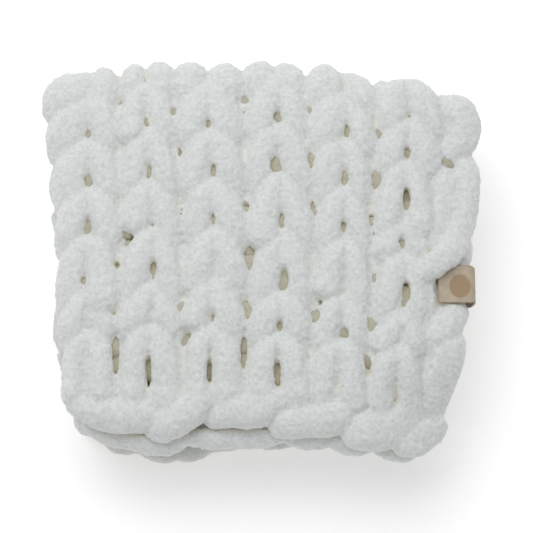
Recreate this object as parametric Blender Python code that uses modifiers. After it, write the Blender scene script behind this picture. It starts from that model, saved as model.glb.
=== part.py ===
"""A chunky knit blanket, folded back and forth in four layers, with a leather label over its right edge.

Units are metres and +Z is up. The top layer's bound-off edge lies at the front (-Y), and its other end
turns over in a fold at the back (+Y). The origin is under the middle of the stack, on its flat underside.
"""

import math
from collections import namedtuple

import bmesh
import bpy
from mathutils import Vector

MM = 0.001

# The cloth: one yarn thickness is one layer, and the layers lie a little apart.
YARN = 24.0 * MM
LAYER_PITCH = 27.0 * MM
LAYERS = 4
FOLD_RADIUS = LAYER_PITCH / 2
BACK_FOLD_Y = 131.5 * MM
FRONT_FOLD_Y = -126.0 * MM
CAST_ON_Y = -149.0 * MM

# The stitches: a leg is half of a stitch, and its middle stands up from the valleys beside it.
LEG_STEPS = 4
VALLEY_SHARE = 0.42
GAP_SHARE = 0.26
NOTCH_SHARE = 0.52
LEG_ROUNDNESS = 0.8
LEG_LEAN = 9.0 * MM
LINK_NOTCH_SHARE = 0.55
LINK_SLANT = 12.0 * MM
GAP_END_SHARE = 0.55
FOLD_STEPS = 7
FOLD_RUN_OUT = 16.0 * MM
EDGE_ROLL = 7.0 * MM
HIDDEN_SHARE = 0.96
EDGE_SHARE = 0.40
SCALLOP = 2.2 * MM

# The valleys between the legs of the top layer, from the left selvedge to the right one.
Valley = namedtuple("Valley", "back middle front")
VALLEYS = [
    Valley(back=-173.0, middle=-161.0, front=-153.0),
    Valley(back=-136.8, middle=-136.0, front=-137.0),
    Valley(back=-112.8, middle=-110.4, front=-112.0),
    Valley(back=-92.8, middle=-84.0, front=-86.4),
    Valley(back=-68.8, middle=-61.6, front=-59.2),
    Valley(back=-41.6, middle=-36.0, front=-39.2),
    Valley(back=-13.6, middle=-9.6, front=-12.0),
    Valley(back=13.6, middle=16.8, front=13.6),
    Valley(back=38.4, middle=43.2, front=37.6),
    Valley(back=69.6, middle=66.4, front=60.0),
    Valley(back=92.8, middle=88.8, front=82.4),
    Valley(back=118.4, middle=114.4, front=104.0),
    Valley(back=148.8, middle=137.0, front=125.0),
    Valley(back=174.0, middle=166.5, front=150.0),
]
LEGS = len(VALLEYS) - 1
COLUMNS = LEGS * LEG_STEPS

# How far each leg's roll stops short at the back, and each part of the front edge reaches past its line.
BACK_STOPS_SHORT = [14.0, 5.0, 2.0, 0.0, 2.5, 1.0, 0.0, 1.7, 3.3, 11.6, 15.0, 13.0, 25.0]
FRONT_REACHES_OUT = [-6.0, 0.0, 2.0, 7.0, 5.0, 0.0, 0.0, 1.0, 2.0, 4.0, 7.0, 9.0, 5.0]

# The courses of the top layer, from the front edge to the back fold.
Course = namedtuple("Course", "name front back steps")
COURSES = [
    Course(name="chain", front=-152.0, back=-123.0, steps=4),
    Course(name="long", front=-123.0, back=-63.0, steps=8),
    Course(name="first", front=-63.0, back=-24.0, steps=6),
    Course(name="second", front=-24.0, back=16.0, steps=6),
    Course(name="third", front=16.0, back=55.0, steps=6),
    Course(name="fourth", front=55.0, back=96.0, steps=6),
    Course(name="fifth", front=96.0, back=131.5, steps=5),
]

# The links of the bound-off chain end at these places across the front edge.
LINK_ENDS = [-153.0, -126.0, -80.0, -38.0, 21.0, 70.0, 110.0, 150.0]

# The largest gaps between stitches, which go right through the top layer.
Gap = namedtuple("Gap", "valley course at length width")
GAPS = [
    Gap(valley=1, course="third", at=1.0, length=1, width=8.0),
    Gap(valley=1, course="second", at=1.0, length=2, width=5.0),
    Gap(valley=2, course="long", at=0.50, length=4, width=6.0),
    Gap(valley=3, course="long", at=0.38, length=4, width=4.5),
    Gap(valley=3, course="first", at=1.0, length=2, width=6.5),
    Gap(valley=5, course="long", at=0.38, length=3, width=4.5),
    Gap(valley=5, course="fourth", at=0.0, length=2, width=5.5),
    Gap(valley=6, course="long", at=0.50, length=4, width=5.5),
    Gap(valley=6, course="second", at=0.33, length=2, width=7.0),
    Gap(valley=7, course="long", at=0.38, length=4, width=5.0),
    Gap(valley=7, course="first", at=0.83, length=2, width=7.0),
    Gap(valley=7, course="fourth", at=0.17, length=2, width=7.0),
    Gap(valley=8, course="fourth", at=0.33, length=2, width=6.5),
    Gap(valley=9, course="third", at=1.0, length=2, width=5.0),
    Gap(valley=9, course="fourth", at=1.0, length=2, width=6.0),
    Gap(valley=10, course="long", at=0.50, length=2, width=5.0),
    Gap(valley=11, course="first", at=0.50, length=3, width=8.0),
    Gap(valley=11, course="third", at=0.50, length=3, width=9.0),
    Gap(valley=11, course="fourth", at=0.50, length=1, width=6.5),
]

# The edges of the lower layers, which show beside and below the top layer.
LowerEdge = namedtuple("LowerEdge", "back middle front")
LOWER_LEFT = LowerEdge(back=-168.0, middle=-168.0, front=-150.0)
LOWER_RIGHT = LowerEdge(back=165.0, middle=166.0, front=149.0)

# The stack sinks towards its rim, most at the right front corner, and one tuck dents the top.
RIM_SINK = 0.05
CORNER_SINK = 0.24
CORNER = Vector((150.0, -152.0, 0.0)) * MM
CORNER_REACH = 75.0 * MM
TUCK = Vector((-121.0, -47.0, 0.0)) * MM
TUCK_REACH = 15.0 * MM
TUCK_SHARE = 0.42

# The label: a leather strip wrapped over a flattened stretch of the top layer's right selvedge.
LABEL_THICKNESS = 1.6 * MM
LABEL_CLEARANCE = 0.6 * MM
LABEL_FRONT_Y = -49.5 * MM
LABEL_BACK_Y = -19.5 * MM
LABEL_BEND_X = 161.0 * MM
LABEL_TOP_START_X = 139.5 * MM
LABEL_UNDER_END_X = 145.0 * MM
LABEL_BEND_STEPS = 8
LABEL_FLAP_STEPS = 4
LABEL_LENGTH_STEPS = 6
NECK_HALF = 6.0 * MM
NECK_EDGE_HALF = 3.6 * MM
NECK_MARGIN = 9.0 * MM
NECK_EDGE_X = 164.0 * MM

YARN_COLOUR = (0.60, 0.62, 0.61, 1.0)
LEATHER_COLOUR = (0.40, 0.31, 0.22, 1.0)

Station = namedtuple("Station", "y z normal_y normal_z course along kind layer")


def smooth(value):
    """A ramp from 0 to 1 with level ends."""
    value = min(max(value, 0.0), 1.0)
    return value * value * (3.0 - 2.0 * value)


def layer_height(layer):
    """The middle of a layer, where layer 0 is the lowest."""
    return YARN / 2 + layer * LAYER_PITCH


def three_way(row, y):
    """A value read between a row's back, middle and front ones."""
    if y > 0:
        return (row.middle + (row.back - row.middle) * smooth(y / BACK_FOLD_Y)) * MM
    return (row.middle + (row.front - row.middle) * smooth(y / CAST_ON_Y)) * MM


def top_stations():
    """The stations of the top layer, from its bound-off edge to the back."""
    height = layer_height(LAYERS - 1)
    stations = []
    for course in COURSES:
        for step in range(course.steps):
            share = step / course.steps
            y = (course.front + (course.back - course.front) * share) * MM
            stations.append(Station(y, height, 0.0, 1.0, course.name, share, "layer", LAYERS - 1))
    return stations


def fold_stations(centre_y, upper, direction):
    """The stations round a fold from layer upper to the one below; direction is 1 at the back."""
    centre_z = layer_height(upper) - FOLD_RADIUS
    stations = []
    for step in range(FOLD_STEPS):
        angle = math.pi * step / FOLD_STEPS
        y = centre_y + direction * FOLD_RADIUS * math.sin(angle)
        z = centre_z + FOLD_RADIUS * math.cos(angle)
        normal_y = math.sin(angle)
        normal_z = direction * math.cos(angle)
        share = step / FOLD_STEPS
        stations.append(Station(y, z, normal_y, normal_z, "fold", share, "fold", upper))
    return stations


def hidden_stations(start_y, end_y, layer, direction, last=False):
    """The few stations of a covered layer; direction is 1 where the cloth runs to the back."""
    places = [start_y, start_y + direction * FOLD_RUN_OUT, (start_y + end_y) / 2]
    if last:
        places += [end_y - direction * EDGE_ROLL, end_y]
    else:
        places.append(end_y - direction * FOLD_RUN_OUT)
    height = layer_height(layer)
    return [Station(y, height, 0.0, float(direction), "hidden", 0.5, "layer", layer) for y in places]


def all_stations():
    """The whole folded way of the cloth, from the bound-off edge to the cast-on edge."""
    stations = top_stations()
    stations += fold_stations(BACK_FOLD_Y, 3, 1)
    stations += hidden_stations(BACK_FOLD_Y, FRONT_FOLD_Y, 2, -1)
    stations += fold_stations(FRONT_FOLD_Y, 2, -1)
    stations += hidden_stations(FRONT_FOLD_Y, BACK_FOLD_Y, 1, 1)
    stations += fold_stations(BACK_FOLD_Y, 1, 1)
    stations += hidden_stations(BACK_FOLD_Y, CAST_ON_Y, 0, -1, last=True)
    return stations


STATIONS = all_stations()
ROWS = len(STATIONS) - 1
TOP_ROWS = sum(course.steps for course in COURSES)


def station_of(course_name, at):
    """The number of the station at a share of a course."""
    first = 0
    for course in COURSES:
        if course.name == course_name:
            return first + round(at * course.steps)
        first += course.steps
    raise ValueError(course_name)


def gap_cells():
    """The cells of the flat grid that lie in a gap, as column and row."""
    cells = set()
    for gap in GAPS:
        first = station_of(gap.course, gap.at) - (gap.length + 1) // 2
        for row in range(first, first + gap.length):
            cells.add((gap.valley * LEG_STEPS - 1, row))
            cells.add((gap.valley * LEG_STEPS, row))
    return cells


def gap_sides():
    """Half of the gap's width at each vertex beside a gap, as (column, station)."""
    sides = {}
    for gap in GAPS:
        first = station_of(gap.course, gap.at) - (gap.length + 1) // 2
        last = first + gap.length
        for station in range(first, last + 1):
            at_end = gap.length > 1 and station in (first, last)
            half = gap.width * MM / 2 * (GAP_END_SHARE if at_end else 1.0)
            for column in (gap.valley * LEG_STEPS - 1, gap.valley * LEG_STEPS + 1):
                sides[column, station] = half
    return sides


GAP_SIDES = gap_sides()


def in_neck(column, station):
    """True on the flattened stretch of the right selvedge that carries the label."""
    on_strand = column >= (LEGS - 1) * LEG_STEPS
    on_top = station.layer == LAYERS - 1 and station.kind == "layer"
    beside = LABEL_FRONT_Y - NECK_MARGIN < station.y < LABEL_BACK_Y + NECK_MARGIN
    return on_strand and on_top and beside


def lower_edge(station, right):
    """The x of a lower layer's edge, with a soft bump for each course."""
    row = LOWER_RIGHT if right else LOWER_LEFT
    bump = SCALLOP * math.sin(station.y * 150.0 + station.layer * 2.1 + (1.0 if right else 0.0))
    return three_way(row, station.y) + (bump if right else -bump)


def top_x(column, station):
    """The x of a column of the top layer, along its leaning and swelling legs."""
    leg, step = divmod(column, LEG_STEPS)
    if leg == LEGS:
        edge = three_way(VALLEYS[LEGS], station.y)
        return edge + SCALLOP * math.sin(math.pi * station.along)
    low = three_way(VALLEYS[leg], station.y)
    high = three_way(VALLEYS[leg + 1], station.y)
    if leg == 0:
        low -= SCALLOP * math.sin(math.pi * station.along) * (step == 0)
    across = step / LEG_STEPS
    lean = LEG_LEAN * (station.along - 0.5) * math.sin(math.pi * across)
    return low + (high - low) * across + (lean if leg % 2 == 0 else -lean)


def column_x(column, row):
    """The x of a column at a station, on any layer or fold."""
    station = STATIONS[row]
    if in_neck(column, station):
        across = (column - (LEGS - 1) * LEG_STEPS) / LEG_STEPS
        low = three_way(VALLEYS[LEGS - 1], station.y)
        return low + (NECK_EDGE_X - low) * across
    top = top_x(column, station)
    if (column, row) in GAP_SIDES:
        leg = round(column / LEG_STEPS)
        valley = three_way(VALLEYS[leg], station.y)
        return valley + math.copysign(GAP_SIDES[column, row], column - leg * LEG_STEPS)
    if station.layer == LAYERS - 1 and station.kind == "layer":
        return top
    left, right = VALLEYS[0], VALLEYS[LEGS]
    share = (top - three_way(left, station.y)) / (three_way(right, station.y) - three_way(left, station.y))
    lower = lower_edge(station, False) * (1.0 - share) + lower_edge(station, True) * share
    if station.kind == "fold" and station.layer == LAYERS - 1:
        return top + (lower - top) * smooth(station.along)
    return lower


def leg_relief(column, station):
    """The share of half a yarn that the surface stands up, across and along a leg."""
    leg, step = divmod(min(column, COLUMNS - 1), LEG_STEPS)
    if column == COLUMNS:
        step = LEG_STEPS
    across = step / LEG_STEPS
    from_inner = 1.0 - across if leg % 2 == 0 else across
    reach = 0.5 * from_inner if station.course != "long" else 0.15 * from_inner
    phase = (station.along + reach) % 1.0
    notch = NOTCH_SHARE * abs(2.0 * phase - 1.0) ** 4
    crest = math.sin(math.pi * across) ** LEG_ROUNDNESS
    valley = GAP_SHARE if abs(2.0 * phase - 1.0) > 0.6 else VALLEY_SHARE
    if column in (0, COLUMNS):
        valley = EDGE_SHARE
    return valley + (1.0 - notch - valley) * crest


def chain_relief(x, station):
    """The share of half a yarn that the bound-off chain stands up: plump links side by side."""
    profile = math.sqrt(max(0.0, 1.0 - (1.0 - min(1.0, station.along * 2.2)) ** 2))
    slant = x + LINK_SLANT * (station.along - 0.5)
    for start, end in zip(LINK_ENDS, LINK_ENDS[1:]):
        if start * MM <= slant < end * MM:
            across = (slant / MM - start) / (end - start)
            notch = LINK_NOTCH_SHARE * abs(2.0 * across - 1.0) ** 4
            return EDGE_SHARE + (1.0 - EDGE_SHARE) * profile * (1.0 - notch)
    return EDGE_SHARE


def tuck_depth(x, y):
    """The share by which the tuck near the left front lowers the top."""
    distance = (Vector((x, y, 0.0)) - TUCK).length / TUCK_REACH
    return TUCK_SHARE * math.exp(-distance * distance)


def shows(row, side):
    """True where the face between this station and the next one can be seen from outside."""
    station = STATIONS[row]
    if station.kind == "fold":
        return side == (-1 if station.layer == 2 else 1)
    return station.layer == LAYERS - 1 and side == 1


def half_thickness(column, row, side, x):
    """How far the surface lies from the middle of the cloth, at one vertex on one of its two sides."""
    station = STATIONS[row]
    if in_neck(column, station):
        return NECK_EDGE_HALF if column == COLUMNS else NECK_HALF
    seen = shows(row, side) or (row > 0 and shows(row - 1, side))
    if not seen:
        from_rim = min(column, COLUMNS - column) / 2.0
        rounded = math.sqrt(max(0.0, 1.0 - (1.0 - min(1.0, from_rim)) ** 2))
        share = EDGE_SHARE + (HIDDEN_SHARE - EDGE_SHARE) * rounded
        if row in (0, ROWS):
            share = EDGE_SHARE
        if station.layer == 0 and side == 1 and row != ROWS and from_rim >= 1.0:
            share = 1.0
        return YARN / 2 * share
    if station.course == "chain":
        return YARN / 2 * chain_relief(x, station)
    relief = leg_relief(column, station)
    if station.layer == LAYERS - 1 and station.kind == "layer":
        relief -= tuck_depth(x, station.y)
    return YARN / 2 * relief


def by_leg(table, column):
    """A value for this column, read between the middles of the legs."""
    place = min(max(column / LEG_STEPS - 0.5, 0.0), LEGS - 1.0)
    low = min(int(place), LEGS - 2)
    bend = smooth(place - low)
    return (table[low] + (table[low + 1] - table[low]) * bend) * MM


def sink(x, y, z):
    """The height after the stack has sunk towards its rim and its right front corner."""
    rim = max(abs(x) / (175.0 * MM), abs(y) / (157.0 * MM))
    amount = RIM_SINK * smooth((rim - 0.55) / 0.45)
    corner = (Vector((x, y, 0.0)) - CORNER).length / CORNER_REACH
    amount += CORNER_SINK * (1.0 - smooth(corner))
    return z * (1.0 - amount)


def cloth_point(column, row, side):
    """The place of one vertex of the folded cloth."""
    station = STATIONS[row]
    x = column_x(column, row)
    half = half_thickness(column, row, side, x)
    y = station.y + side * half * station.normal_y
    z = station.z + side * half * station.normal_z
    if not in_neck(column, station):
        y -= by_leg(BACK_STOPS_SHORT, column) * smooth((y - 30.0 * MM) / (120.0 * MM))
        y -= by_leg(FRONT_REACHES_OUT, column) * smooth((-y - 70.0 * MM) / (80.0 * MM))
    return Vector((x, y, sink(x, y, z)))


def flat_grid(name):
    """The cloth laid flat, one unit for each column and row, with the cells of the gaps left out."""
    mesh = bpy.data.meshes.new(name)
    grid = bmesh.new()
    bmesh.ops.create_grid(grid, x_segments=COLUMNS, y_segments=ROWS, size=0.5)
    for vertex in grid.verts:
        vertex.co.x = round((vertex.co.x + 0.5) * COLUMNS)
        vertex.co.y = round((vertex.co.y + 0.5) * ROWS)
    cells = gap_cells()
    faces = [
        face
        for face in grid.faces
        if (int(face.calc_center_median().x), int(face.calc_center_median().y)) in cells
    ]
    bmesh.ops.delete(grid, geom=faces, context="FACES")
    grid.to_mesh(mesh)
    grid.free()
    return mesh


def thickened(mesh, thickness):
    """A closed copy of an open mesh, thickened evenly to both sides."""
    shape = bpy.data.objects.new("shape", mesh)
    bpy.context.scene.collection.objects.link(shape)
    solidify = shape.modifiers.new("Thickness", "SOLIDIFY")
    solidify.thickness = thickness
    solidify.offset = 0.0
    graph = bpy.context.evaluated_depsgraph_get()
    solid = bpy.data.meshes.new_from_object(shape.evaluated_get(graph))
    bpy.data.objects.remove(shape)
    bpy.data.meshes.remove(mesh)
    return solid


def thin_hidden_faces(cloth):
    """Takes out most of the lines along the cloth where no one sees them."""
    near_gap = set()
    for column, row in gap_cells():
        for beside in (-1, 0, 1, 2):
            for along in (-1, 0, 1):
                near_gap.add((column + beside, row + along))
    edges = []
    for edge in cloth.edges:
        first, second = (vertex.co for vertex in edge.verts)
        lengthwise = abs(first.x - second.x) < 0.5 < abs(first.y - second.y)
        if not lengthwise or first.z * second.z < 0:
            continue
        column, row = round(first.x), round(min(first.y, second.y))
        side = 1 if first.z > 0 else -1
        inside = 2 < column < COLUMNS - 2
        if inside and column % LEG_STEPS and not shows(row, side) and (column, row) not in near_gap:
            edges.append(edge)
    bmesh.ops.dissolve_edges(cloth, edges=edges, use_verts=True)
    bmesh.ops.triangulate(cloth, faces=cloth.faces)


def plain_material(name, colour, roughness):
    """A material of one colour."""
    material = bpy.data.materials.new(name)
    material.use_nodes = True
    shader = material.node_tree.nodes["Principled BSDF"]
    shader.inputs["Base Color"].default_value = colour
    shader.inputs["Roughness"].default_value = roughness
    return material


def add_object(name, mesh, material, collection):
    """An object of this mesh and material, in the collection."""
    mesh.materials.clear()
    mesh.materials.append(material)
    part = bpy.data.objects.new(name, mesh)
    collection.objects.link(part)
    return part


def make_blanket(collection):
    """The folded cloth as one closed body, with its stitches raised in its faces."""
    mesh = thickened(flat_grid("blanket"), 1.0)
    cloth = bmesh.new()
    cloth.from_mesh(mesh)
    thin_hidden_faces(cloth)
    for vertex in cloth.verts:
        side = 1 if vertex.co.z > 0 else -1
        vertex.co = cloth_point(round(vertex.co.x), round(vertex.co.y), side)
    cloth.to_mesh(mesh)
    cloth.free()
    mesh.name = "blanket"
    return add_object("blanket", mesh, plain_material("chenille_yarn", YARN_COLOUR, 0.95), collection)


def label_route():
    """The middle of the leather strip in x and z, from its top flap round the edge to its lower flap."""
    centre_z = layer_height(LAYERS - 1)
    radius = NECK_HALF + LABEL_CLEARANCE + LABEL_THICKNESS / 2
    route = []
    for step in range(LABEL_FLAP_STEPS):
        share = step / LABEL_FLAP_STEPS
        route.append((LABEL_TOP_START_X + (LABEL_BEND_X - LABEL_TOP_START_X) * share, centre_z + radius))
    for step in range(LABEL_BEND_STEPS):
        angle = math.pi * step / LABEL_BEND_STEPS
        route.append((LABEL_BEND_X + radius * math.sin(angle), centre_z + radius * math.cos(angle)))
    for step in range(LABEL_FLAP_STEPS + 1):
        share = step / LABEL_FLAP_STEPS
        route.append((LABEL_BEND_X + (LABEL_UNDER_END_X - LABEL_BEND_X) * share, centre_z - radius))
    return route


def make_label(collection):
    """The leather strip as one closed body, wrapped over the edge and clear of the cloth."""
    route = label_route()
    mesh = bpy.data.meshes.new("label")
    strip = bmesh.new()
    bmesh.ops.create_grid(strip, x_segments=len(route) - 1, y_segments=LABEL_LENGTH_STEPS, size=0.5)
    for vertex in strip.verts:
        step = round((vertex.co.x + 0.5) * (len(route) - 1))
        share = vertex.co.y + 0.5
        x, z = route[step]
        vertex.co = Vector((x, LABEL_FRONT_Y + (LABEL_BACK_Y - LABEL_FRONT_Y) * share, z))
    strip.to_mesh(mesh)
    strip.free()
    solid = thickened(mesh, LABEL_THICKNESS)
    for vertex in solid.vertices:
        vertex.co.z = sink(vertex.co.x, vertex.co.y, vertex.co.z)
    solid.name = "label"
    return add_object("label", solid, plain_material("leather", LEATHER_COLOUR, 0.6), collection)


def main():
    """Clears the scene and builds the cloth and its label."""
    for existing in list(bpy.data.objects):
        bpy.data.objects.remove(existing)
    collection = bpy.data.collections.new("folded_knit_blanket")
    bpy.context.scene.collection.children.link(collection)
    make_blanket(collection)
    make_label(collection)


main()
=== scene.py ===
"""The looks of a chunky knit blanket, folded back and forth, with a leather label on its right edge.

The yarn is built as yarn: every leg of every stitch is its own plump strand, bent along the folded way of
the cloth. Lengths in the classes are millimetres, and only the finished meshes are in metres.
"""

import itertools
import logging
import math
import random
from dataclasses import dataclass, field
from enum import Enum

import bpy
import numpy as np
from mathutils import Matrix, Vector, noise


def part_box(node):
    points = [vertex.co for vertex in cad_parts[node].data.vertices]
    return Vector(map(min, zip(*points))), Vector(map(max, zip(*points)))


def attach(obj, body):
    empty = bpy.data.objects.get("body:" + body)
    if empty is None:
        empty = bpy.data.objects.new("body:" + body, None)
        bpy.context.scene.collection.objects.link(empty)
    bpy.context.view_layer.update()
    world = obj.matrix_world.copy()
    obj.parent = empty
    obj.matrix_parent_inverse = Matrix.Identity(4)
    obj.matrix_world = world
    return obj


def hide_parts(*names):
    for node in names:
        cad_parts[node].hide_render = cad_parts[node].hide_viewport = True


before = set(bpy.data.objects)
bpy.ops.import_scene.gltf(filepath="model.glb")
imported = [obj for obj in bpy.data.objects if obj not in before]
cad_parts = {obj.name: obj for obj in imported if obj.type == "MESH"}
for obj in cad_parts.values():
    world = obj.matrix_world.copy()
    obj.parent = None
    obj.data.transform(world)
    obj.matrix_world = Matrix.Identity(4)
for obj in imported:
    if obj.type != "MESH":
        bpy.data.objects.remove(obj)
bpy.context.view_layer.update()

MM = 0.001
SEED = 41
Array = np.ndarray
Row = tuple[float, ...]


class Fineness(Enum):
    """How finely a strand's surface is divided: sides round it, and millimetres along it."""

    SEEN = (22, 3.0)
    EDGE = (16, 4.5)
    COVERED = (10, 8.0)


class Side(Enum):
    """The side of a stitch that a leg lies on, as the sign of its leaning."""

    LEFT = -1
    RIGHT = 1


def smooth(value: Array) -> Array:
    """Return a ramp from 0 to 1 with level ends."""
    value = np.clip(value, 0.0, 1.0)
    return value * value * (3.0 - 2.0 * value)


def power(value: Array, exponent: float) -> Array:
    """Return the value to a power, with its sign kept."""
    return np.sign(value) * np.abs(value) ** exponent


def dial(node: bpy.types.Node, values: dict[str, float | Row]) -> bpy.types.Node:
    """Set a node's inputs by their names.

    Args:
        node: The node.
        values: The value of each input.

    Returns:
        The node.
    """
    for name, value in values.items():
        node.inputs[name].default_value = value
    return node


def linked(name: str, data: bpy.types.ID) -> bpy.types.Object:
    """Return a new object of the data, linked to the scene."""
    made = bpy.data.objects.new(name, data)
    bpy.context.scene.collection.objects.link(made)
    return made


def run_of(points: Array) -> Array:
    """Return how far along their line each of the points lies."""
    steps = np.linalg.norm(np.diff(points, axis=0), axis=1)
    return np.concatenate([[0.0], np.cumsum(steps)])


def through(points: Array, step: float) -> Array:
    """Read a smooth curve through a few points.

    Args:
        points: The points, one row each, with any further values in the same row.
        step: The distance between two rows of the result, in the units of the first three columns.

    Returns:
        The rows along the curve, its first and last points included.
    """
    places = run_of(points[:, :3])
    slopes = np.gradient(points, places, axis=0)
    count = max(4, int(math.ceil(places[-1] / step)) + 1)
    at = np.linspace(0.0, places[-1], count)
    low = np.clip(np.searchsorted(places, at, side="right") - 1, 0, len(points) - 2)
    span = (places[low + 1] - places[low])[:, None]
    t = (at - places[low])[:, None] / span
    start, end = points[low], points[low + 1]
    return (
        (2 * t**3 - 3 * t**2 + 1) * start
        + (t**3 - 2 * t**2 + t) * span * slopes[low]
        + (3 * t**2 - 2 * t**3) * end
        + (t**3 - t**2) * span * slopes[low + 1]
    )


@dataclass(frozen=True)
class Valley:
    """The x of a valley between two legs of the top layer, at the back, middle and front."""

    back: float
    middle: float
    front: float

    def at(self, y: Array, reach: tuple[float, float]) -> Array:
        """Read the valley's x along the cloth.

        Args:
            y: The places to read it at, on any layer.
            reach: The y of the cloth's front and of its back.

        Returns:
            The x at each y.
        """
        behind = self.middle + (self.back - self.middle) * smooth(y / reach[1])
        ahead = self.middle + (self.front - self.middle) * smooth(y / reach[0])
        return np.where(y > 0, behind, ahead)


VALLEYS = (
    Valley(-173.0, -161.0, -153.0), Valley(-136.8, -136.0, -137.0), Valley(-112.8, -110.4, -112.0),
    Valley(-92.8, -84.0, -86.4), Valley(-68.8, -61.6, -59.2), Valley(-41.6, -36.0, -39.2),
    Valley(-13.6, -9.6, -12.0), Valley(13.6, 16.8, 13.6), Valley(38.4, 43.2, 37.6),
    Valley(69.6, 66.4, 60.0), Valley(92.8, 88.8, 82.4), Valley(118.4, 114.4, 104.0),
    Valley(148.8, 137.0, 125.0), Valley(174.0, 166.5, 150.0),
)
LEGS = len(VALLEYS) - 1
LOWER_LEFT = Valley(-167.0, -163.0, -151.0)
LOWER_RIGHT = Valley(163.0, 159.0, 138.0)


@dataclass
class FoldedWay:
    """The way the cloth runs through its four layers, and where a place on it lies in the room.

    A place on the cloth is x across it, s along it from the bound-off edge, and h above its middle. What
    the back stops short and the front reaches out is given for each leg of the top layer.
    """

    layers: int = 4
    yarn: float = 24.0
    back_fold_y: float = 131.5
    front_fold_y: float = -126.0
    bound_off_y: float = -152.0
    cast_on_y: float = -149.0
    rim_sink: float = 0.05
    corner_sink: float = 0.24
    corner: Row = (150.0, -152.0)
    corner_reach: float = 75.0
    half_size: Row = (175.0, 157.0)
    rim_from: float = 0.55
    rim_over: float = 0.45
    bulge: float = 6.0
    bulge_y: float = 50.0
    bulge_length: float = 19.4
    bulge_lag: float = 0.8
    sway: float = 2.5
    sway_length: float = 30.0
    sway_lag: float = 2.1
    back_from: float = 30.0
    back_over: float = 120.0
    front_from: float = 70.0
    front_over: float = 80.0
    back_stops_short: Row = (12.0, 3.0, 2.0, 0.0, 2.5, 1.0, 0.0, 1.7, 3.3, 13.0, 15.0, 13.0, 25.0)
    front_reaches_out: Row = (-6.0, 0.0, 2.0, 7.0, 5.0, 0.0, 0.0, 1.0, 2.0, 4.0, 7.0, 9.0, 5.0)
    pitch: float = field(init=False)
    knots: Array = field(init=False)

    def __post_init__(self) -> None:
        """Work out the layers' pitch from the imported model, and the route from the folds."""
        low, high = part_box("blanket")
        self.pitch = ((high[2] - low[2]) / MM - self.yarn) / (self.layers - 1)
        self.knots = self._route()

    def _route(self) -> Array:
        """Trace the middle of the cloth through its layers and folds.

        Returns:
            Rows of s, y, z, normal y, normal z and layer, every millimetre or so.
        """
        radius = self.pitch / 2
        height = self.yarn / 2 + (self.layers - 1) * self.pitch
        turns = [(self.back_fold_y, 1), (self.front_fold_y, -1), (self.back_fold_y, 1)]
        rows, y, direction = [], self.bound_off_y, 1
        for index, (turn_y, side) in enumerate(turns):
            for place in np.arange(y, turn_y, direction * 1.0):
                rows.append((place, height, 0.0, direction, self.layers - 1 - index))
            for angle in np.arange(0.0, math.pi, 1.0 / radius):
                out, up = math.sin(angle), math.cos(angle)
                spot = (turn_y + side * radius * out, height - radius + radius * up)
                rows.append((*spot, out, side * up, self.layers - 1 - index - angle / math.pi))
            height -= self.pitch
            y, direction = turn_y, -direction
        for place in np.arange(y, self.cast_on_y - 1.0, -1.0):
            rows.append((place, height, 0.0, -1.0, 0))
        table = np.array(rows)
        return np.column_stack([run_of(table[:, :2]), table])

    @property
    def length(self) -> float:
        """Return the cloth's length along its folded way."""
        return float(self.knots[-1, 0])

    def read(self, s: Array, column: int) -> Array:
        """Return one column of the route at each s."""
        return np.interp(s, self.knots[:, 0], self.knots[:, column])

    def y_at(self, s: Array) -> Array:
        """Return the y of the cloth's middle at each s."""
        return self.read(s, 1)

    def s_at_top(self, y: float | Array) -> float | Array:
        """Return the s of a y on the top layer."""
        return y - self.bound_off_y

    def across(self, leg_place: Array, s: Array) -> Array:
        """Find the x of a place counted in legs from the left selvedge.

        Args:
            leg_place: The place across the cloth, 0 at the left selvedge and 13 at the right one.
            s: The place along the cloth.

        Returns:
            The x of each place, which narrows and leans as the layers do.
        """
        y = self.y_at(s)
        reach = (self.cast_on_y, self.back_fold_y)
        edges = np.array([valley.at(y, reach) for valley in VALLEYS])
        low = np.clip(np.floor(leg_place).astype(int), 0, LEGS - 1)
        which = np.arange(len(s))
        share = leg_place - low
        top = edges[low, which] * (1 - share) + edges[low + 1, which] * share
        wide = (top - edges[0]) / (edges[LEGS] - edges[0])
        below = LOWER_LEFT.at(y, reach) * (1 - wide) + LOWER_RIGHT.at(y, reach) * wide
        layer = self.read(s, 5)
        left = -self.bulge * np.cos((y - self.bulge_y) / self.bulge_length + (layer - 2.0) * self.bulge_lag)
        right = self.sway * np.sin(y / self.sway_length + layer * self.sway_lag)
        uneven = left * (1 - wide) + right * wide
        lower = smooth(self.layers - 1 - layer)
        return top * (1 - lower) + (below + uneven) * lower

    @staticmethod
    def _by_leg(table: Row, x: Array) -> Array:
        """Return a value for each x, read between the legs' middles."""
        middles = [(a.middle + b.middle) / 2 for a, b in zip(VALLEYS, VALLEYS[1:])]
        return np.interp(x, middles, table)

    def place(self, x: Array, s: Array, h: Array) -> Array:
        """Find where places on the cloth lie in the room.

        Args:
            x: Across the cloth.
            s: Along the cloth. Places before the bound-off edge or past the cast-on edge run on straight.
            h: Above the cloth's middle.

        Returns:
            One row of x, y and z for each place, in millimetres.
        """
        before = np.minimum(s, 0.0)
        after = np.maximum(s - self.length, 0.0)
        y = self.y_at(s) + before - after + h * self.read(s, 3)
        z = self.read(s, 2) + h * self.read(s, 4)
        y = y - self._by_leg(self.back_stops_short, x) * smooth((y - self.back_from) / self.back_over)
        y = y - self._by_leg(self.front_reaches_out, x) * smooth((-y - self.front_from) / self.front_over)
        return np.column_stack([x, y, self.sunk(x, y, z)])

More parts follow.
